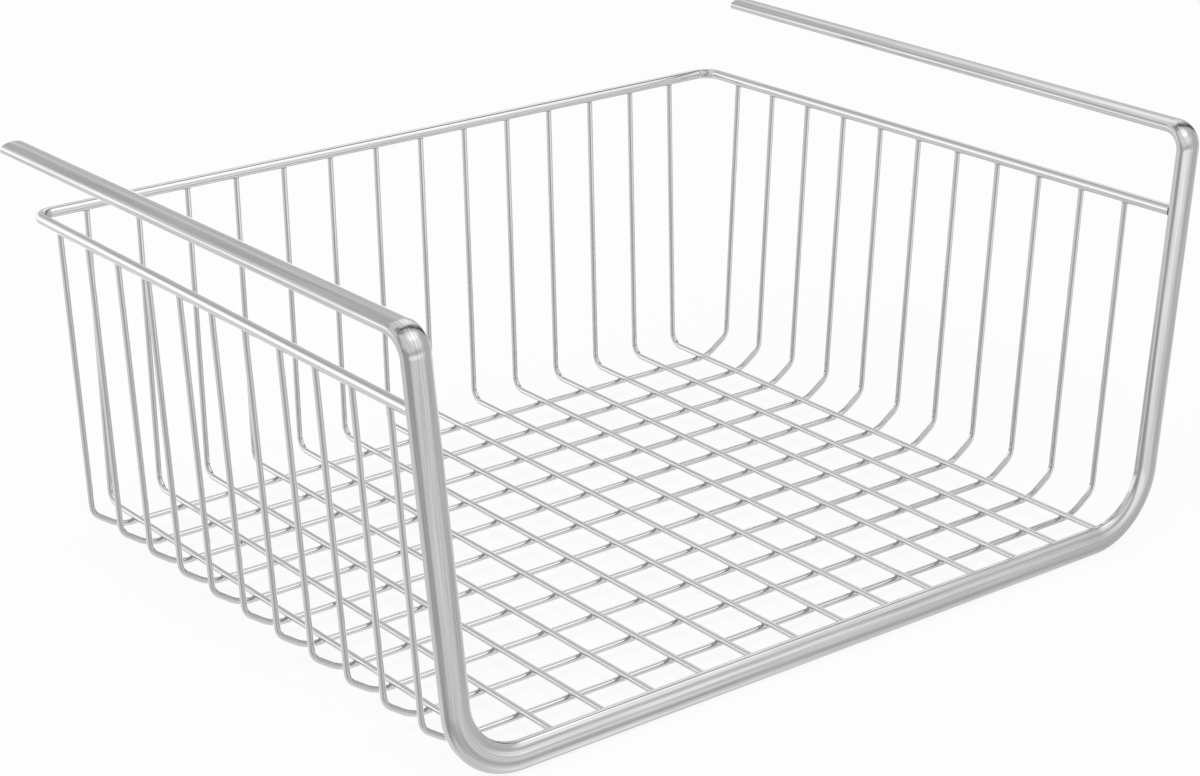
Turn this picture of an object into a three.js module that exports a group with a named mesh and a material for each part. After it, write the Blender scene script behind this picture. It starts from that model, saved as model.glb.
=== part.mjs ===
// Under shelf basket. A flat steel band is bent into an open frame, whose two arms slide in over a shelf.
// A U of thick wire is welded to the back of the frame as the basket's rim. The basket itself is a mat of
// thinner wires that hangs from the rim: cross wires run down one side, under the floor and up the other
// side, and long wires run down the back and forward over them to the frame's bottom bar. All is chromed.
// x runs from left to right, y from front to back and z up. The origin is at the foot of the frame, in the
// middle of the plan.
import * as THREE from 'three';

// Driving dimensions, in millimetres. Heights and distances are to a piece's axis, unless the comment says
// otherwise, and heights are above the foot of the frame.

// Flat band, rim wire and basket wire
const BAND_WIDTH = 12.7;
const BAND_THICKNESS = 4.6;
const BAND_EDGE_RADIUS = 1; // along the flat inner face
const RIM_DIAMETER = 5;
const WIRE_DIAMETER = 2.7;
const WELD_GAP = 0.3; // stands for the weld between two pieces

// Mat of wires
const CROSS_WIRE_COUNT = 11;
const LONG_WIRE_COUNT = 14;
const WIRE_PITCH = 25.4; // both ways
const FRONT_BAY = 25.9; // back of the band to the first cross wire
const BACK_BAY = 23.3; // last cross wire to the rim
const FLOOR_CLEARANCE = 3.6; // under the cross wires, at the front
const FLOOR_RISE = 3.7; // from the front to the back wall
const BACK_BEND_RADIUS = 6.5;

// Slant between the floor and each side wall
const SLANT_RUN = 12.8;
const SLANT_RISE = 9;
const SLANT_FOOT_RADIUS = 20;
const SLANT_HEAD_RADIUS = 8;

// Rim, and how far the walls lean outwards from the floor to it
const RIM_HEIGHT = 151.2;
const RIM_CORNER_RADIUS = 8;
const SIDE_LEAN = 5.9; // at the back; more towards the front, where the rim meets the uprights
const BACK_LEAN = 4;

// Front frame: its uprights splay outwards from the bottom bar, and its arms lie level
const SHELF_SLOT = 31; // top of the rim to the underside of the arms
const ARM_LENGTH = 297.9; // front of the band to an arm's free end
const FOOT_MARGIN = 1.7; // side wall to upright, both carried down to the bottom bar
const UPRIGHT_SPLAY = 16.6;
const FOOT_CORNER_RADIUS = 30.5;
const ARM_CORNER_RADIUS = 9.8;

// Fineness of the mesh
const BEND_STEPS = 8;
const SLANT_BEND_STEPS = 5;
const FRAME_BEND_STEPS = 10;
const WIRE_SIDES = 10;
const RIM_SIDES = 14;
const BAND_CURVE_STEPS = 5; // in each quarter of the band's curved outline

const CHROME_COLOUR = 0xc9cbcd;
const CHROME_ROUGHNESS = 0.16;

// Share of the band's thickness that its crowned outer face takes up
const CROWN_SHARE = 0.57;

// An edge's rounding leaves at least a tenth of the side below the crown flat
const EDGE_LIMIT_SHARE = 0.9;

// Places that follow from the dimensions
const crossSpan = (CROSS_WIRE_COUNT - 1) * WIRE_PITCH;
const longSpan = (LONG_WIRE_COUNT - 1) * WIRE_PITCH;
const depth = BAND_THICKNESS + FRONT_BAY + crossSpan + BACK_BAY + RIM_DIAMETER / 2;
const bandY = -depth / 2 + BAND_THICKNESS / 2;
const weldY = bandY + BAND_THICKNESS / 2 + WELD_GAP; // where wires end behind the band
const firstCrossY = bandY + BAND_THICKNESS / 2 + FRONT_BAY;
const rimBackY = depth / 2 - RIM_DIAMETER / 2;
const floorBackY = rimBackY - BACK_LEAN;
const slantTurn = Math.atan2(SLANT_RISE, SLANT_RUN);
const slantFootX = longSpan / 2 + WELD_GAP + SLANT_FOOT_RADIUS * Math.tan(slantTurn / 2); // past the mat
const floorX = slantFootX + SLANT_RUN; // side walls, carried down to the floor
const footX = floorX + FOOT_MARGIN;
const armX = footX + UPRIGHT_SPLAY;
const barHeight = BAND_WIDTH / 2;
const armHeight = RIM_HEIGHT + RIM_DIAMETER / 2 + SHELF_SLOT + BAND_THICKNESS / 2;
const wallTop = RIM_HEIGHT - RIM_DIAMETER / 2 - WELD_GAP; // where wires end under the rim
const wireStack = WIRE_DIAMETER + WELD_GAP; // long wires' height over the cross wires
const rimBackX = floorX + SIDE_LEAN;
const rimFrontX = uprightX(RIM_HEIGHT) - BAND_WIDTH / 2 + RIM_DIAMETER / 2; // flush with the upright

// Distance of an upright's axis from the middle, at a height.
function uprightX(height) {
  return THREE.MathUtils.mapLinear(height, barHeight, armHeight, footX, armX);
}

// Distance of the rim's side from the middle, at a depth.
function rimX(y) {
  return THREE.MathUtils.mapLinear(y, weldY, rimBackY, rimFrontX, rimBackX);
}

// Height of the cross wires on the floor, at a depth.
function crossHeight(y) {
  const frontHeight = FLOOR_CLEARANCE + WIRE_DIAMETER / 2;
  return THREE.MathUtils.mapLinear(y, weldY, floorBackY, frontHeight, frontHeight + FLOOR_RISE);
}

// Distance of a side wall from the middle, at a depth and height.
function wallX(y, height) {
  return THREE.MathUtils.mapLinear(height, crossHeight(y), wallTop, floorX, rimX(y));
}

// The axis of a bent rod: straight stretches joined by round bends. It runs through the given points, the
// inner ones of which are corners, each with its radius and, if it has one, the angle by which the rod is
// twisted on its way round. A flat rod's broad side lies along the direction across it, and its outer face
// is towards the heading's cross product with that direction.
class BentRod extends THREE.Curve {
  constructor(points, across, bendSteps) {
    super();
    this.stations = [];
    const heading = new THREE.Vector3().subVectors(points[1].at, points[0].at).normalize();
    const side = across.clone();
    this.addStation(points[0].at, heading, side);
    for (let i = 1; i < points.length - 1; i++) {
      this.addBend(points[i], points[i + 1].at, heading, side, bendSteps);
    }
    this.addStation(points[points.length - 1].at, heading, side);
  }

  addStation(at, heading, side) {
    this.stations.push({ at: at.clone(), heading: heading.clone(), side: side.clone() });
  }

  // Adds the stations of one corner, and turns heading and side to what they are after it.
  addBend({ at: apex, radius, twist = 0 }, next, heading, side, bendSteps) {
    const out = new THREE.Vector3().subVectors(next, apex).normalize();
    const turn = heading.angleTo(out);
    const axis = new THREE.Vector3().crossVectors(heading, out).normalize();
    const spoke = new THREE.Vector3().crossVectors(heading, axis).multiplyScalar(radius);
    const start = apex.clone().addScaledVector(heading, -radius * Math.tan(turn / 2));
    const centre = start.clone().sub(spoke);
    const [startHeading, startSide] = [heading.clone(), side.clone()];
    for (let step = 0; step <= bendSteps; step++) {
      const share = step / bendSteps;
      heading.copy(startHeading).applyAxisAngle(axis, turn * share);
      side.copy(startSide).applyAxisAngle(axis, turn * share).applyAxisAngle(heading, twist * share);
      const at = spoke.clone().applyAxisAngle(axis, turn * share).add(centre);
      this.addStation(at, heading, side);
    }
  }

  // A ring of the section stands at each station, however far apart the stations are.
  getUtoTmapping(u) {
    return u;
  }

  getPoint(t, target = new THREE.Vector3()) {
    const place = t * (this.stations.length - 1);
    const index = Math.min(Math.floor(place), this.stations.length - 2);
    return target.lerpVectors(this.stations[index].at, this.stations[index + 1].at, place - index);
  }

  computeFrenetFrames() {
    const tangents = this.stations.map(({ heading }) => heading);
    const normals = this.stations.map(({ side }) => side);
    const binormals = tangents.map((tangent, i) => new THREE.Vector3().crossVectors(tangent, normals[i]));
    return { tangents, normals, binormals };
  }
}

function roundSection(diameter, sides) {
  const points = [];
  for (let i = 0; i < sides; i++) {
    const angle = (2 * Math.PI * (i + 1 / 2)) / sides;
    points.push(new THREE.Vector2(Math.cos(angle), Math.sin(angle)).multiplyScalar(diameter / 2));
  }
  return new THREE.Shape(points);
}

// The band's section: half an ellipse for the crowned outer face, on a flat inner face with rounded edges.
function bandSection() {
  const sideHeight = BAND_THICKNESS * (1 - CROWN_SHARE);
  const radius = Math.min(BAND_EDGE_RADIUS, sideHeight * EDGE_LIMIT_SHARE);
  const [halfWidth, inner] = [BAND_WIDTH / 2, -BAND_THICKNESS / 2];
  const section = new THREE.Shape();
  section.absellipse(0, inner + sideHeight, halfWidth, BAND_THICKNESS - sideHeight, 0, Math.PI);
  section.absarc(radius - halfWidth, inner + radius, radius, Math.PI, (3 / 2) * Math.PI);
  section.absarc(halfWidth - radius, inner + radius, radius, (3 / 2) * Math.PI, 2 * Math.PI);
  return section;
}

function rodMesh(name, section, rod) {
  const geometry = new THREE.ExtrudeGeometry(section, {
    steps: rod.stations.length - 1,
    extrudePath: rod,
    curveSegments: BAND_CURVE_STEPS,
  });
  const material = new THREE.MeshStandardMaterial({
    color: CHROME_COLOUR,
    roughness: CHROME_ROUGHNESS,
    metalness: 1,
  });
  const mesh = new THREE.Mesh(geometry, material);
  mesh.name = name;
  return mesh;
}

const point = (x, y, z) => ({ at: new THREE.Vector3(x, y, z) });
const corner = (x, y, z, radius, twist) => ({ ...point(x, y, z), radius, twist });
const numbered = (name, index) => `${name}_${String(index + 1).padStart(2, '0')}`;

// Left arm, left upright, bottom bar, right upright and right arm, in one length of band. The bends that
// lead into the arms also twist the splay out of it.
function frontFrame() {
  const armEndY = -depth / 2 + ARM_LENGTH;
  const splay = Math.atan2(UPRIGHT_SPLAY, armHeight - barHeight);
  const rod = new BentRod(
    [
      point(-armX, armEndY, armHeight),
      corner(-armX, bandY, armHeight, ARM_CORNER_RADIUS, splay),
      corner(-footX, bandY, barHeight, FOOT_CORNER_RADIUS),
      corner(footX, bandY, barHeight, FOOT_CORNER_RADIUS),
      corner(armX, bandY, armHeight, ARM_CORNER_RADIUS, -splay),
      point(armX, armEndY, armHeight),
    ],
    new THREE.Vector3(1, 0, 0),
    FRAME_BEND_STEPS,
  );
  return rodMesh('front_frame', bandSection(), rod);
}

function rimWire() {
  const rod = new BentRod(
    [
      point(-rimX(weldY), weldY, RIM_HEIGHT),
      corner(-rimX(rimBackY), rimBackY, RIM_HEIGHT, RIM_CORNER_RADIUS),
      corner(rimX(rimBackY), rimBackY, RIM_HEIGHT, RIM_CORNER_RADIUS),
      point(rimX(weldY), weldY, RIM_HEIGHT),
    ],
    new THREE.Vector3(0, 0, 1),
    BEND_STEPS,
  );
  return rodMesh('rim_wire', roundSection(RIM_DIAMETER, RIM_SIDES), rod);
}

// One U of wire across the basket, from the rim down one side wall, over to the other side and up again.
function crossWire(index) {
  const y = firstCrossY + index * WIRE_PITCH;
  const footHeight = crossHeight(y);
  const headHeight = footHeight + SLANT_RISE;
  const rod = new BentRod(
    [
      point(-rimX(y), y, wallTop),
      corner(-wallX(y, headHeight), y, headHeight, SLANT_HEAD_RADIUS),
      corner(-slantFootX, y, footHeight, SLANT_FOOT_RADIUS),
      corner(slantFootX, y, footHeight, SLANT_FOOT_RADIUS),
      corner(wallX(y, headHeight), y, headHeight, SLANT_HEAD_RADIUS),
      point(rimX(y), y, wallTop),
    ],
    new THREE.Vector3(0, 1, 0),
    SLANT_BEND_STEPS,
  );
  return rodMesh(numbered('cross_wire', index), roundSection(WIRE_DIAMETER, WIRE_SIDES), rod);
}

// One L of wire, from the rim at the back down to the floor and forward to the band.
function longWire(index) {
  const x = -longSpan / 2 + index * WIRE_PITCH;
  const rod = new BentRod(
    [
      point(x, rimBackY, wallTop),
      corner(x, floorBackY, crossHeight(floorBackY) + wireStack, BACK_BEND_RADIUS),
      point(x, weldY, crossHeight(weldY) + wireStack),
    ],
    new THREE.Vector3(1, 0, 0),
    BEND_STEPS,
  );
  return rodMesh(numbered('long_wire', index), roundSection(WIRE_DIAMETER, WIRE_SIDES), rod);
}

const basket = new THREE.Group();
basket.add(frontFrame(), rimWire());
for (let index = 0; index < CROSS_WIRE_COUNT; index++) {
  basket.add(crossWire(index));
}
for (let index = 0; index < LONG_WIRE_COUNT; index++) {
  basket.add(longWire(index));
}

export default basket;
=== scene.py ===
import math
from collections import namedtuple

import bpy
from mathutils import Matrix, Quaternion, Vector


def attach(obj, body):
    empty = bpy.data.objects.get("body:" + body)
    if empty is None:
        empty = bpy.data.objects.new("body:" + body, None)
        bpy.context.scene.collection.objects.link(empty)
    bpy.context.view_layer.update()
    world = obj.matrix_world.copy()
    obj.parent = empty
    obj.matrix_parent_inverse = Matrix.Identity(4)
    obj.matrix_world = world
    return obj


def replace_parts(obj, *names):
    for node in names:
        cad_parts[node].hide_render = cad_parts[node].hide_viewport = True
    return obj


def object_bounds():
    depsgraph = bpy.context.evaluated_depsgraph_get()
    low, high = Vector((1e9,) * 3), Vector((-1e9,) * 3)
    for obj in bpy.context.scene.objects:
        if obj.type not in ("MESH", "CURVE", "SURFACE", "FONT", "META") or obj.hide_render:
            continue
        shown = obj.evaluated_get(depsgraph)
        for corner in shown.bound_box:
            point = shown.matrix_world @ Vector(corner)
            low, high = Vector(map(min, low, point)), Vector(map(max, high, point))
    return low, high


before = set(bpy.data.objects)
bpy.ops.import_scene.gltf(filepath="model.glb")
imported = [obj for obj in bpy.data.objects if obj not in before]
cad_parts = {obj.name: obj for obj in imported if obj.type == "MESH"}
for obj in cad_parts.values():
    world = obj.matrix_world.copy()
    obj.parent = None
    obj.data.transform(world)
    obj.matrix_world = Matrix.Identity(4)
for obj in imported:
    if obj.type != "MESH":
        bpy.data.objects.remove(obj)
cad_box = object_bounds()

# An under shelf basket of chromed steel. A flat band is bent into an open frame with two arms, a thick wire
# runs round the basket as its rim, and thinner wires hang from the rim as walls and floor. All is welded.
# Each rod of the frame is replaced by a finer one on the same axis, and the welds between rods are added.

MM = 0.001

# Stock that the basket is bent from
BAND_WIDTH = 12.7 * MM
BAND_THICKNESS = 4.6 * MM
BAND_EDGE_RADIUS = 1 * MM  # along the flat inner face
CROWN_SHARE = 0.57  # of the thickness, taken up by the crowned outer face
RIM_RADIUS = 2.5 * MM
WIRE_RADIUS = 1.35 * MM
WELD_GAP = 0.3 * MM  # that the frame leaves between two rods, and that a weld fills here

# Mat of wires
CROSS_WIRE_COUNT = 11
LONG_WIRE_COUNT = 14
WIRE_PITCH = 25.4 * MM
FRONT_BAY = 25.9 * MM  # back of the band to the first cross wire
FLOOR_CLEARANCE = 3.6 * MM
FLOOR_RISE = 3.7 * MM  # from the front to the back wall
BACK_BEND_RADIUS = 6.5 * MM

# Slant between the floor and each side wall
SLANT_RUN = 12.8 * MM
SLANT_RISE = 9 * MM
SLANT_FOOT_RADIUS = 20 * MM
SLANT_HEAD_RADIUS = 8 * MM

# Rim and walls
RIM_HEIGHT = 151.2 * MM
RIM_CORNER_RADIUS = 8 * MM
SIDE_LEAN = 5.9 * MM
BACK_LEAN = 4 * MM

# Front frame
FOOT_MARGIN = 1.7 * MM  # side wall to upright, both carried down to the bottom bar
UPRIGHT_SPLAY = 16.6 * MM
FOOT_CORNER_RADIUS = 30.5 * MM
ARM_CORNER_RADIUS = 9.8 * MM
ARM_LENGTH = 297.9 * MM

# Ends, bends and welds
ARM_END_BREAK = 0.5 * MM  # rounding of the cut ends' edges
STRAIN_FADE = 2.5 * MM  # how far beyond a bend its stretching of the steel reaches
WELD_SINK = 0.25 * MM  # how deep a weld or a rod's end reaches into what it is welded to
CROSSING_REACH = 0.95 * MM  # from a crossing's middle to the edge of its weld
CROSSING_WAIST = 0.2 * MM  # how far the weld is drawn in between the two wires
WIRE_FILLET = 0.6 * MM  # at a wire's end
RIM_FILLET = 0.5 * MM  # at the rim's ends

# Fineness of the meshes
BEND_STEPS = 20
WIRE_SIDES = 24
RIM_SIDES = 32
EDGE_STEPS = 8
CROWN_STEPS = 48
BREAK_STEPS = 4
WELD_SIDES = 16
WELD_STEPS = 5

# Places that follow, from the frame's box and the sizes above
front, back = cad_box[0].y, cad_box[1].y
band_y = front + BAND_THICKNESS / 2
band_back = front + BAND_THICKNESS
first_cross_y = band_back + FRONT_BAY
rim_back_y = back - RIM_RADIUS
floor_back_y = rim_back_y - BACK_LEAN
weld_y = band_back + WELD_GAP
first_long_x = -(LONG_WIRE_COUNT - 1) * WIRE_PITCH / 2
slant_turn = math.atan2(SLANT_RISE, SLANT_RUN)
slant_foot_x = -first_long_x + WELD_GAP + SLANT_FOOT_RADIUS * math.tan(slant_turn / 2)
floor_x = slant_foot_x + SLANT_RUN  # side walls, carried down to the floor
foot_x = floor_x + FOOT_MARGIN
arm_x = foot_x + UPRIGHT_SPLAY
bar_height = BAND_WIDTH / 2
arm_height = cad_box[1].z - BAND_THICKNESS / 2
wire_stack = 2 * WIRE_RADIUS + WELD_GAP
wall_top = RIM_HEIGHT - RIM_RADIUS - WELD_GAP
splay = math.atan2(UPRIGHT_SPLAY, arm_height - bar_height)


def map_linear(value, start, end, at_start, at_end):
    return at_start + (at_end - at_start) * (value - start) / (end - start)


def upright_x(height):
    """Distance of an upright's axis from the middle, at a height."""
    return map_linear(height, bar_height, arm_height, foot_x, arm_x)


def rim_x(y):
    """Distance of the rim's side from the middle, at a depth."""
    at_front = upright_x(RIM_HEIGHT) - BAND_WIDTH / 2 + RIM_RADIUS
    return map_linear(y, weld_y, rim_back_y, at_front, floor_x + SIDE_LEAN)


def cross_height(y):
    """Height of the cross wires' axes on the floor, at a depth."""
    at_front = FLOOR_CLEARANCE + WIRE_RADIUS
    return map_linear(y, weld_y, floor_back_y, at_front, at_front + FLOOR_RISE)


def wall_x(y, height):
    """Distance of a side wall from the middle, at a depth and height."""
    return map_linear(height, cross_height(y), wall_top, floor_x, rim_x(y))


# Rods

# A place along a rod: its axis, its heading, the direction across it, how far along the rod it is, how far
# the section is drawn in there, by how much the surface leans towards the heading, and the bend's curvature
# as a vector away from its centre
Station = namedtuple("Station", "at heading side run inset lean curve", defaults=(0, 0, Vector()))

# A corner of a rod: where the straight stretches would meet, the bend's radius, and how far the section
# turns about the axis on its way round
Corner = namedtuple("Corner", "at radius twist", defaults=(0,))


def bend(corner, following, heading, side, run):
    """The stations of a corner, with one before and one behind it, where its stretching of the steel ends."""
    out = (following - corner.at).normalized()
    turn = heading.angle(out)
    axis = heading.cross(out).normalized()
    spoke = heading.cross(axis) * corner.radius
    start = corner.at - heading * corner.radius * math.tan(turn / 2)
    centre = start - spoke
    stations = [Station(start - heading * STRAIN_FADE, heading, side, run - STRAIN_FADE)]
    for step in range(BEND_STEPS + 1):
        share = step / BEND_STEPS
        round_bend = Quaternion(axis, turn * share)
        new_heading = round_bend @ heading
        new_side = Quaternion(new_heading, corner.twist * share) @ (round_bend @ side)
        new_spoke = round_bend @ spoke
        new_run = run + turn * share * corner.radius
        curve = new_spoke / corner.radius**2
        stations.append(Station(centre + new_spoke, new_heading, new_side, new_run, curve=curve))
    last = stations[-1]
    beyond = last.at + last.heading * STRAIN_FADE
    return stations + [Station(beyond, last.heading, last.side, last.run + STRAIN_FADE)]


def bent_rod(start, corners, end, side):
    """The stations of a rod of straight stretches and round bends."""
    side = Vector(side)
    marks = [corner.at for corner in corners] + [end]
    heading = (marks[0] - start).normalized()
    stations = [Station(start, heading, side, 0)]
    for corner, following in zip(corners, marks[1:]):
        last = stations[-1]
        turn = last.heading.angle((following - corner.at).normalized())
        straight = (corner.at - last.at).length - corner.radius * math.tan(turn / 2)
        stations += bend(corner, following, last.heading, last.side, last.run + straight)
    last = stations[-1]
    return stations + [Station(end, last.heading, last.side, last.run + (end - last.at).length)]


def broken_ends(stations, size):
    """The same rod with the edges of its two ends rounded off."""
    first, last = stations[0], stations[-1]
    opening, closing = [], []
    for step in range(BREAK_STEPS + 1):
        lean = math.pi / 2 * step / BREAK_STEPS
        inset = size * (1 - math.cos(lean))
        reach = size * (1 - math.sin(lean))
        opening.insert(0, first._replace(at=first.at + first.heading * reach, inset=inset, lean=-lean))
        closing.append(last._replace(at=last.at - last.heading * reach, inset=inset, lean=lean))
    return opening + stations[1:-1] + closing


def round_section(radius, sides):
    """Gives the points of a round rod's section, each with its normal, for an inset."""
    turns = [math.tau * i / sides for i in range(sides)]
    normals = [Vector((math.cos(turn), math.sin(turn))) for turn in turns]
    return lambda inset: [(normal * (radius - inset), normal) for normal in normals]


def band_section(inset):
    """The points of the band's section, each with its normal: half an ellipse for the crowned outer face, on
    a flat inner face with rounded edges."""
    half_width, inner = BAND_WIDTH / 2, -BAND_THICKNESS / 2
    crown = BAND_THICKNESS * CROWN_SHARE
    points = []
    for step in range(CROWN_STEPS + 1):
        turn = math.pi * step / CROWN_STEPS
        at = Vector((half_width * math.cos(turn), crown * math.sin(turn) - inner - crown))
        normal = Vector((math.cos(turn) / half_width, math.sin(turn) / crown)).normalized()
        points.append((at - normal * inset, normal))
    for quarter, centre_x in ((2, BAND_EDGE_RADIUS - half_width), (3, half_width - BAND_EDGE_RADIUS)):
        centre = Vector((centre_x, inner + BAND_EDGE_RADIUS))
        for step in range(EDGE_STEPS + 1):
            turn = math.pi / 2 * (quarter + step / EDGE_STEPS)
            normal = Vector((math.cos(turn), math.sin(turn)))
            points.append((centre + normal * (BAND_EDGE_RADIUS - inset), normal))
    return points


class Shape:
    """A mesh in the making: closed tubes, each of rows of points, with a normal at every corner. Each point
    also keeps its place in the straightened rod, across, up and along it, for the marks of drawing, and how
    far bending has stretched the steel there."""

    def __init__(self):
        self.points = []
        self.places = []
        self.strains = []
        self.faces = []
        self.normals = []

    def add_tube(self, rows, normals, places, strains):
        first, width = len(self.points), len(rows[0])
        self.points += [point for row in rows for point in row]
        self.places += [place for row in places for place in row]
        self.strains += [strain for row in strains for strain in row]
        corner_normals = [normal for row in normals for normal in row]
        for row in range(len(rows) - 1):
            for column in range(width):
                beside = (column + 1) % width
                face = [row * width + column, row * width + beside]
                face += [(row + 1) * width + beside, (row + 1) * width + column]
                self.faces.append([first + corner for corner in face])
                self.normals += [corner_normals[corner] for corner in face]
        for row, order in ((0, -1), (len(rows) - 1, 1)):
            face = [row * width + column for column in range(width)][::order]
            corners = [self.points[first + corner] for corner in face]
            facing = sum((a.cross(b) for a, b in zip(corners, corners[1:] + corners[:1])), Vector())
            self.faces.append([first + corner for corner in face])
            self.normals += [facing.normalized()] * width

    def add_rod(self, stations, section):
        rows, normals, places, strains = [], [], [], []
        for station in stations:
            up = station.heading.cross(station.side)
            around = section(station.inset)
            offsets = [station.side * p.x + up * p.y for p, _ in around]
            rows.append([station.at + offset for offset in offsets])
            strains.append([max(offset.dot(station.curve), 0) for offset in offsets])
            flat = math.cos(station.lean)
            rise = station.heading * math.sin(station.lean)
            normals.append([(station.side * n.x + up * n.y) * flat + rise for _, n in around])
            places.append([Vector((p.x, p.y, station.run)) for p, _ in around])
        self.add_tube(rows, normals, places, strains)

    def add_weld(self, rows):
        """A tube whose normals follow from its points, and whose place in a rod is its place in the room."""
        normals = []
        for above, row, below in zip(rows[1:] + rows[-1:], rows, rows[:1] + rows[:-1]):
            turned = zip(row[1:] + row[:1], row[-1:] + row[:-1], above, below)
            normals.append([(a - b).cross(c - d).normalized() for a, b, c, d in turned])
        self.add_tube(rows, normals, rows, [[0] * len(row) for row in rows])

    def make_piece(self, name, material):
        mesh = bpy.data.meshes.new(name)
        mesh.from_pydata(self.points, [], self.faces)
        place = mesh.attributes.new("place_in_rod", "FLOAT_VECTOR", "POINT")
        place.data.foreach_set("vector", [value for point in self.places for value in point])
        strain = mesh.attributes.new("strain", "FLOAT", "POINT")
        strain.data.foreach_set("value", self.strains)
        mesh.shade_smooth()
        mesh.normals_split_custom_set(self.normals)
        mesh.materials.append(material)
        piece = bpy.data.objects.new(name, mesh)
        bpy.context.scene.collection.objects.link(piece)
        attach(piece, "root")
        return piece


def make_rod(node, stations, section, material):
    """A finer rod in the place of the frame's node."""
    shape = Shape()
    shape.add_rod(stations, section)
    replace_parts(shape.make_piece(f"{node}_rod", material), node)


# Welds


def crossing_rows(x, y):
    """The weld between a long wire and the cross wire under it."""
    low = cross_height(y)
    high = low + wire_stack
    rows = []
    for step in range(WELD_STEPS + 1):
        share = step / WELD_STEPS
        reach = CROSSING_REACH - CROSSING_WAIST * math.sin(math.pi * share)
        row = []
        for side in range(WELD_SIDES):
            turn = math.tau * side / WELD_SIDES
            across = CROSSING_REACH * math.cos(turn)
            along = CROSSING_REACH * math.sin(turn)
            bottom = low + math.sqrt(WIRE_RADIUS**2 - along**2) - WELD_SINK
            top = high - math.sqrt(WIRE_RADIUS**2 - across**2) + WELD_SINK
            height = bottom + (top - bottom) * share
            row.append(Vector((x + reach * math.cos(turn), y + reach * math.sin(turn), height)))
        rows.append(row)
    return rows


def foot_rows(seat, heading, side, radius, fillet, seat_radius=None):
    """The fillet where a rod's end meets a flat face at the seat, or a round rod whose axis the seat is on.
    The side lies square to that rod."""
    up = heading.cross(side)
    rows = []
    for step in range(WELD_STEPS + 1):
        turn = math.pi / 2 * step / WELD_STEPS
        reach = radius + fillet * (1 - math.cos(turn))
        row = []
        for spoke in range(WELD_SIDES):
            across = reach * math.cos(math.tau * spoke / WELD_SIDES)
            along = reach * math.sin(math.tau * spoke / WELD_SIDES)
            drop = math.sqrt(seat_radius**2 - across**2) if seat_radius else 0
            depth = drop + fillet * (1 - math.sin(turn)) - WELD_SINK
            row.append(seat + side * across + up * along - heading * depth)
        rows.append(row)
    return rows


# Pieces of the basket


def make_front_frame(material):
    """Left arm, left upright, bottom bar, right upright and right arm, in one length of band."""
    arm_end = front + ARM_LENGTH
    corners = [
        Corner(Vector((-arm_x, band_y, arm_height)), ARM_CORNER_RADIUS, splay),
        Corner(Vector((-foot_x, band_y, bar_height)), FOOT_CORNER_RADIUS),
        Corner(Vector((foot_x, band_y, bar_height)), FOOT_CORNER_RADIUS),
        Corner(Vector((arm_x, band_y, arm_height)), ARM_CORNER_RADIUS, -splay),
    ]
    start = Vector((-arm_x, arm_end, arm_height))
    end = Vector((arm_x, arm_end, arm_height))
    stations = broken_ends(bent_rod(start, corners, end, (1, 0, 0)), ARM_END_BREAK)
    make_rod("front_frame", stations, band_section, material)


def make_rim(material, weld_material):
    """The rim, welded by its ends to the backs of the uprights."""
    end_y = band_back - WELD_SINK
    start = Vector((-rim_x(end_y), end_y, RIM_HEIGHT))
    end = Vector((rim_x(end_y), end_y, RIM_HEIGHT))
    corners = [
        Corner(Vector((-rim_x(rim_back_y), rim_back_y, RIM_HEIGHT)), RIM_CORNER_RADIUS),
        Corner(Vector((rim_x(rim_back_y), rim_back_y, RIM_HEIGHT)), RIM_CORNER_RADIUS),
    ]
    stations = bent_rod(start, corners, end, (0, 0, 1))
    make_rod("rim_wire", stations, round_section(RIM_RADIUS, RIM_SIDES), material)
    welds = Shape()
    for side in (-1, 1):
        seat = Vector((side * rim_x(band_back), band_back, RIM_HEIGHT))
        welds.add_weld(foot_rows(seat, Vector((0, -1, 0)), Vector((0, 0, 1)), RIM_RADIUS, RIM_FILLET))
    welds.make_piece("rim_wire_welds", weld_material)


def make_cross_wire(node, y, material, weld_material):
    """A wire from the rim down one side, under the floor and up the other side, with the welds on it."""
    top = wall_top + WELD_GAP + WELD_SINK
    foot = cross_height(y)
    head = foot + SLANT_RISE
    start = Vector((-rim_x(y), y, top))
    end = Vector((rim_x(y), y, top))
    corners = [
        Corner(Vector((-wall_x(y, head), y, head)), SLANT_HEAD_RADIUS),
        Corner(Vector((-slant_foot_x, y, foot)), SLANT_FOOT_RADIUS),
        Corner(Vector((slant_foot_x, y, foot)), SLANT_FOOT_RADIUS),
        Corner(Vector((wall_x(y, head), y, head)), SLANT_HEAD_RADIUS),
    ]
    stations = bent_rod(start, corners, end, (0, 1, 0))
    make_rod(node, stations, round_section(WIRE_RADIUS, WIRE_SIDES), material)
    welds = Shape()
    for index in range(LONG_WIRE_COUNT):
        welds.add_weld(crossing_rows(first_long_x + index * WIRE_PITCH, y))
    for side, station in ((-1, stations[0]), (1, stations[-1])):
        seat = Vector((side * rim_x(y), y, RIM_HEIGHT))
        rise = station.heading * math.copysign(1, station.heading.z)
        across = Vector((0, 1, 0)).cross(rise)
        welds.add_weld(foot_rows(seat, rise, across, WIRE_RADIUS, WIRE_FILLET, RIM_RADIUS))
    welds.make_piece(f"{node}_welds", weld_material)


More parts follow.
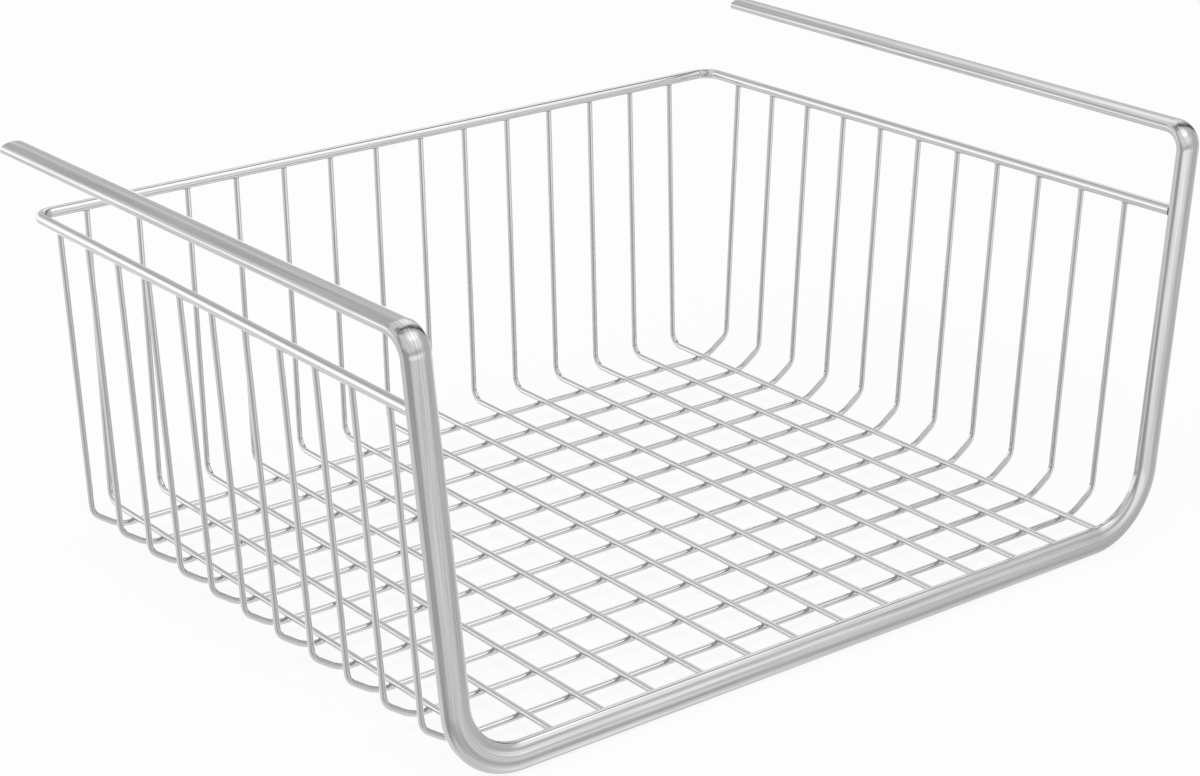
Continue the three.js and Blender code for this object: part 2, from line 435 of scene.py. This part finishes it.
def make_long_wire(node, x, material, weld_material):
    """A wire from the rim down the back and forward to the bottom bar, with the welds at its ends."""
    start = Vector((x, rim_back_y, wall_top + WELD_GAP + WELD_SINK))
    low_corner = Vector((x, floor_back_y, cross_height(floor_back_y) + wire_stack))
    end_y = band_back - WELD_SINK
    end = Vector((x, end_y, cross_height(end_y) + wire_stack))
    stations = bent_rod(start, [Corner(low_corner, BACK_BEND_RADIUS)], end, (1, 0, 0))
    make_rod(node, stations, round_section(WIRE_RADIUS, WIRE_SIDES), material)
    welds = Shape()
    top_seat = Vector((x, rim_back_y, RIM_HEIGHT))
    rise = -stations[0].heading
    across = rise.cross(Vector((1, 0, 0)))
    welds.add_weld(foot_rows(top_seat, rise, across, WIRE_RADIUS, WIRE_FILLET, RIM_RADIUS))
    bar_seat = Vector((x, band_back, cross_height(band_back) + wire_stack))
    welds.add_weld(foot_rows(bar_seat, stations[-1].heading, Vector((1, 0, 0)), WIRE_RADIUS, WIRE_FILLET))
    welds.make_piece(f"{node}_welds", weld_material)


# Materials


def linear(hex_colour):
    """An sRGB colour, written as hex, in the linear values that a shader takes."""
    values = [int(hex_colour[i : i + 2], 16) / 255 for i in (0, 2, 4)]
    curve = [v / 12.92 if v <= 0.04045 else ((v + 0.055) / 1.055) ** 2.4 for v in values]
    return (*curve, 1)


def add(tree, kind, inputs=None, **settings):
    """Adds a node, with its settings, and with each input set to a value or linked to another's output."""
    node = tree.nodes.new(kind)
    for name, value in settings.items():
        setattr(node, name, value)
    for key, value in (inputs or {}).items():
        if isinstance(value, bpy.types.NodeSocket):
            tree.links.new(value, node.inputs[key])
        else:
            node.inputs[key].default_value = value
    return node


def start_material(name):
    material = bpy.data.materials.new(name)
    material.use_nodes = True
    material.node_tree.nodes.clear()
    return material, material.node_tree


# A chromed finish: its colour and the colour of the painted shade in its marks, its roughness and what the
# haze adds to it, and how wide and deep the marks are. Marks of the die and of the rolls are a few hundredths
# of a millimetre wide.
# They are drawn wider here, so that they show at arm's length.
Finish = namedtuple("Finish", "name colour marked_colour roughness haze mark_width mark_depth")

# Wire drawn through a die: faint lines along it break the edges of what it mirrors
DRAWN_WIRE = Finish(
    name="bright_chrome_on_drawn_wire",
    colour="cacaca",
    marked_colour="cacaca",
    roughness=0.1,
    haze=0.08,
    mark_width=0.45 * MM,
    mark_depth=0.004 * MM,
)

# Strip rolled to a crown: coarser lines along it, darkened a little by painted shade in them
ROLLED_STRIP = Finish(
    name="bright_chrome_on_rolled_strip",
    colour="d1d1d1",
    marked_colour="b6b6b6",
    roughness=0.1,
    haze=0.06,
    mark_width=0.5 * MM,
    mark_depth=0.006 * MM,
)

# Welds: their uneven steel takes a thinner plate, which is duller, and grey with a trace of the nickel
WELD_METAL = Finish(
    name="thin_chrome_on_welds",
    colour="bcbcba",
    marked_colour="bcbcba",
    roughness=0.25,
    haze=0.1,
    mark_width=0.8 * MM,
    mark_depth=0.02 * MM,
)

MARK_LENGTH = 60 * MM
MARK_DETAIL = 3
MARK_SHADE_TONES = (0.35, 0.65)  # the noise values at which the colour is all plain and all the painted shade of the marks
STRAIN_GAIN = 36  # how much deeper the marks get where a bend stretches the steel, for each unit of strain
HAZE_SIZE = 18 * MM
HAZE_DETAIL = 4
HAZE_TONES = (0.3, 0.7)  # the noise values at which there is no haze and all of it

MIX_FIRST, MIX_SECOND, MIX_RESULT = 6, 7, 2  # a Mix node's sockets for colours, which share their names


def chrome(finish):
    """Bright chromium on nickel. It mirrors the room, softened by faint marks along the rod, which are deeper
    where a bend has stretched the steel, and by a haze that comes and goes over some centimetres."""
    material, tree = start_material(finish.name)
    place = add(tree, "ShaderNodeAttribute", attribute_name="place_in_rod").outputs["Vector"]
    strain = add(tree, "ShaderNodeAttribute", attribute_name="strain").outputs["Fac"]

    stretch = (1 / finish.mark_width, 1 / finish.mark_width, 1 / MARK_LENGTH)
    marks_at = add(tree, "ShaderNodeMapping", {"Vector": place, "Scale": stretch}).outputs["Vector"]
    noise = {"Vector": marks_at, "Scale": 1, "Detail": MARK_DETAIL}
    marks = add(tree, "ShaderNodeTexNoise", noise).outputs["Fac"]
    deepened = {0: strain, 1: STRAIN_GAIN * finish.mark_depth, 2: finish.mark_depth}
    depth = add(tree, "ShaderNodeMath", deepened, operation="MULTIPLY_ADD").outputs[0]
    relief = add(tree, "ShaderNodeBump", {"Height": marks, "Distance": depth, "Strength": 1})

    # Painted shade in the marks: where the noise is high, the colour darkens towards the finish's mark shade
    # colour
    tones = {"Value": marks, "From Min": MARK_SHADE_TONES[0], "From Max": MARK_SHADE_TONES[1]}
    mark_shade = add(tree, "ShaderNodeMapRange", tones).outputs["Result"]
    colours = {"Factor": mark_shade}
    colours[MIX_FIRST] = linear(finish.colour)
    colours[MIX_SECOND] = linear(finish.marked_colour)
    colour = add(tree, "ShaderNodeMix", colours, data_type="RGBA").outputs[MIX_RESULT]

    noise = {"Vector": place, "Scale": 1 / HAZE_SIZE, "Detail": HAZE_DETAIL}
    haze = {"Value": add(tree, "ShaderNodeTexNoise", noise).outputs["Fac"]}
    haze |= {"From Min": HAZE_TONES[0], "From Max": HAZE_TONES[1]}
    haze |= {"To Min": finish.roughness, "To Max": finish.roughness + finish.haze}
    roughness = add(tree, "ShaderNodeMapRange", haze).outputs["Result"]

    surface = {"Base Color": colour, "Metallic": 1, "Roughness": roughness}
    surface["Normal"] = relief.outputs["Normal"]
    shader = add(tree, "ShaderNodeBsdfPrincipled", surface)
    add(tree, "ShaderNodeOutputMaterial", {"Surface": shader.outputs["BSDF"]})
    return material


def make_basket():
    wire, strip, weld = chrome(DRAWN_WIRE), chrome(ROLLED_STRIP), chrome(WELD_METAL)
    make_front_frame(strip)
    make_rim(wire, weld)
    for index in range(CROSS_WIRE_COUNT):
        make_cross_wire(f"cross_wire_{index + 1:02}", first_cross_y + index * WIRE_PITCH, wire, weld)
    for index in range(LONG_WIRE_COUNT):
        make_long_wire(f"long_wire_{index + 1:02}", first_long_x + index * WIRE_PITCH, wire, weld)


# Floor

WHITE = "ffffff"
PAPER = "f2f2f2"
FLOOR_SIZE = 12
SHADOW_SHARE = 0.12  # of the light that falls on the floor, in what the camera sees of it
SHADOW_FADE = (0.4, 2.5)  # distances from the middle of the floor between which that share fades out


def ray_is_any(tree, *kinds):
    """1 for a ray of any of these kinds, else 0."""
    path = add(tree, "ShaderNodeLightPath").outputs
    found = path[kinds[0]]
    for kind in kinds[1:]:
        found = add(tree, "ShaderNodeMath", {0: found, 1: path[kind]}, operation="MAXIMUM").outputs[0]
    return found


def make_floor():
    """A matt floor of white paper that takes the basket's shadow. To the camera it is plain white, with a
    share of the light that falls on it, which fades out before the horizon."""
    bpy.ops.mesh.primitive_plane_add(size=FLOOR_SIZE)
    floor = bpy.context.object
    floor.name = "studio_floor"
    material, tree = start_material("white_paper_floor")
    place = add(tree, "ShaderNodeTexCoord").outputs["Object"]
    away = add(tree, "ShaderNodeVectorMath", {0: place}, operation="LENGTH").outputs["Value"]
    fade = {"Value": away, "From Min": SHADOW_FADE[0], "From Max": SHADOW_FADE[1]}
    fade |= {"To Min": 1 - SHADOW_SHARE, "To Max": 1}
    plain = add(tree, "ShaderNodeMapRange", fade).outputs["Result"]
    seen = ray_is_any(tree, "Is Camera Ray", "Is Glossy Ray", "Is Transmission Ray")
    share = add(tree, "ShaderNodeMath", {0: seen, 1: plain}, operation="MULTIPLY").outputs[0]
    paper = add(tree, "ShaderNodeBsdfDiffuse", {"Color": linear(PAPER)}).outputs[0]
    white = add(tree, "ShaderNodeEmission", {"Color": linear(WHITE), "Strength": 1}).outputs[0]
    surface = add(tree, "ShaderNodeMixShader", {0: share, 1: paper, 2: white}).outputs[0]
    add(tree, "ShaderNodeOutputMaterial", {"Surface": surface})
    floor.data.materials.append(material)
    floor.visible_glossy = False  # the chrome mirrors the cards below the horizon instead


# Light

# What the chrome mirrors is a white room with grey and bright cards in it. Each card is an ellipse, given in
# degrees as azimuth (0 is to the right, 90 to the back), elevation, half width and half height, with the
# share of its size over which its edge fades, and what it adds to the room's white.
Card = namedtuple("Card", "azimuth elevation half_width half_height fade change")
CARDS = [
    Card(-126, -18, 31, 40, 0.3, -0.42),  # dark of the camera and its stand
    Card(0, 0, 48, 61, 0.08, -0.24),  # grey wall on the right
    Card(-30, -53, 30, 8, 0.4, 0.3),  # lit strip of the table
    Card(-70, -37, 34, 7, 0.4, -0.35),  # edge of the table
    Card(-76, -11, 28, 8, 0.3, 0.4),  # lit floor beyond it
    Card(-76, 4, 27, 6, 0.4, -0.27),  # skirting
    Card(-56, 34, 19, 20, 0.3, 0.34),  # window
    Card(-45, 52, 29, 13, 0.3, 0.7),  # lamp over the window
    Card(13, 46, 13, 42, 0.25, -0.65),  # dark seam of the tent
    Card(0, 84, 220, 11, 0.25, -0.55),  # opening in its top
    Card(-150, 45, 16, 45, 0.3, -0.4),  # its other dark seam
    Card(34, 38, 22, 16, 0.3, 0.45),  # lamp at the back right
    Card(74, 31, 20, 11, 0.4, -0.33),  # grey wall beyond the basket
    Card(102, 46, 16, 9, 0.4, -0.35),  # the same wall, higher up
    Card(58, 10, 12, 9, 0.3, -0.3),  # the same wall, low on the right
    Card(48, -22, 50, 18, 0.3, 0.6),  # lit table behind the basket
    Card(125, 12, 40, 15, 0.3, 0.68),  # lamp at the back left
]
WORLD_LIGHT = 0.75


def make_world():
    """A white room, with cards in it that only the chrome mirrors."""
    world = bpy.data.worlds.new("white_studio")
    bpy.context.scene.world = world
    world.use_nodes = True
    tree = world.node_tree
    tree.nodes.clear()
    direction = add(tree, "ShaderNodeTexCoord").outputs["Generated"]
    parts = add(tree, "ShaderNodeSeparateXYZ", {"Vector": direction}).outputs
    azimuth = add(tree, "ShaderNodeMath", {0: parts["Y"], 1: parts["X"]}, operation="ARCTAN2").outputs[0]
    elevation = add(tree, "ShaderNodeMath", {0: parts["Z"]}, operation="ARCSINE").outputs[0]
    bearing = add(tree, "ShaderNodeCombineXYZ", {"X": azimuth, "Y": elevation}).outputs[0]

    mirrored = 1
    for card in CARDS:
        sizes = [1 / math.radians(card.half_width), 1 / math.radians(card.half_height), 1]
        centre = [-math.radians(card.azimuth) * sizes[0], -math.radians(card.elevation) * sizes[1], 0]
        placing = {0: bearing, 1: sizes, 2: centre}
        spot = add(tree, "ShaderNodeVectorMath", placing, operation="MULTIPLY_ADD").outputs[0]
        away = add(tree, "ShaderNodeVectorMath", {0: spot}, operation="LENGTH").outputs["Value"]
        fade = {"Value": away, "From Min": 1 - card.fade, "From Max": 1 + card.fade}
        fade |= {"To Min": card.change, "To Max": 0}
        change = add(tree, "ShaderNodeMapRange", fade, interpolation_type="SMOOTHSTEP").outputs["Result"]
        mirrored = add(tree, "ShaderNodeMath", {0: mirrored, 1: change}, operation="ADD").outputs[0]

    strengths = (1, mirrored, WORLD_LIGHT)
    lights = [{"Color": linear(WHITE), "Strength": strength} for strength in strengths]
    white, room, light = [add(tree, "ShaderNodeBackground", inputs).outputs[0] for inputs in lights]
    glossy = ray_is_any(tree, "Is Glossy Ray")
    lit = add(tree, "ShaderNodeMixShader", {0: glossy, 1: light, 2: room}).outputs[0]
    seen = ray_is_any(tree, "Is Camera Ray", "Is Transmission Ray")
    shown = add(tree, "ShaderNodeMixShader", {0: seen, 1: lit, 2: white}).outputs[0]
    add(tree, "ShaderNodeOutputWorld", {"Surface": shown})


SOFTBOX_AT = Vector((-0.6, -0.4, 1.8))
SOFTBOX_WIDTH = 1.2
SOFTBOX_POWER = 12


def make_softbox():
    """A round soft lamp overhead, on the left, which gives the floor its shadow."""
    lamp = bpy.data.lights.new("overhead_softbox", "AREA")
    lamp.shape = "DISK"
    lamp.size = SOFTBOX_WIDTH
    lamp.energy = SOFTBOX_POWER
    holder = bpy.data.objects.new("overhead_softbox", lamp)
    holder.location = SOFTBOX_AT
    holder.rotation_euler = (-SOFTBOX_AT).to_track_quat("-Z", "Y").to_euler()
    holder.visible_glossy = False  # the chrome mirrors the cards alone
    bpy.context.scene.collection.objects.link(holder)


# Camera

# The photograph's view: where the camera stands, how it is turned, and its lens for a picture of 1200 by 776
CAMERA_AT = Vector((-744.33, -943.91, 534.25)) * MM
CAMERA_AZIMUTH = math.radians(-38.252)
CAMERA_ELEVATION = math.radians(21.065)
CAMERA_ROLL = math.radians(-0.225)
SENSOR_WIDTH = 36
FOCAL_PIXELS = 2921.05
IMAGE_WIDTH = 1200
NEAREST_SEEN = 0.05
FARTHEST_SEEN = 50


def make_camera():
    data = bpy.data.cameras.new("photo_camera")
    data.sensor_fit = "HORIZONTAL"
    data.sensor_width = SENSOR_WIDTH
    data.lens = FOCAL_PIXELS * SENSOR_WIDTH / IMAGE_WIDTH
    data.clip_start = NEAREST_SEEN
    data.clip_end = FARTHEST_SEEN
    camera = bpy.data.objects.new("photo_camera", data)
    turned = Matrix.Rotation(CAMERA_AZIMUTH, 4, "Z")
    turned @= Matrix.Rotation(math.pi / 2 - CAMERA_ELEVATION, 4, "X")
    turned @= Matrix.Rotation(CAMERA_ROLL, 4, "Z")
    camera.matrix_world = Matrix.Translation(CAMERA_AT) @ turned
    bpy.context.scene.collection.objects.link(camera)
    bpy.context.scene.camera = camera


make_camera()
make_basket()
make_floor()
make_world()
make_softbox()
bpy.context.scene.view_settings.view_transform = "Standard"
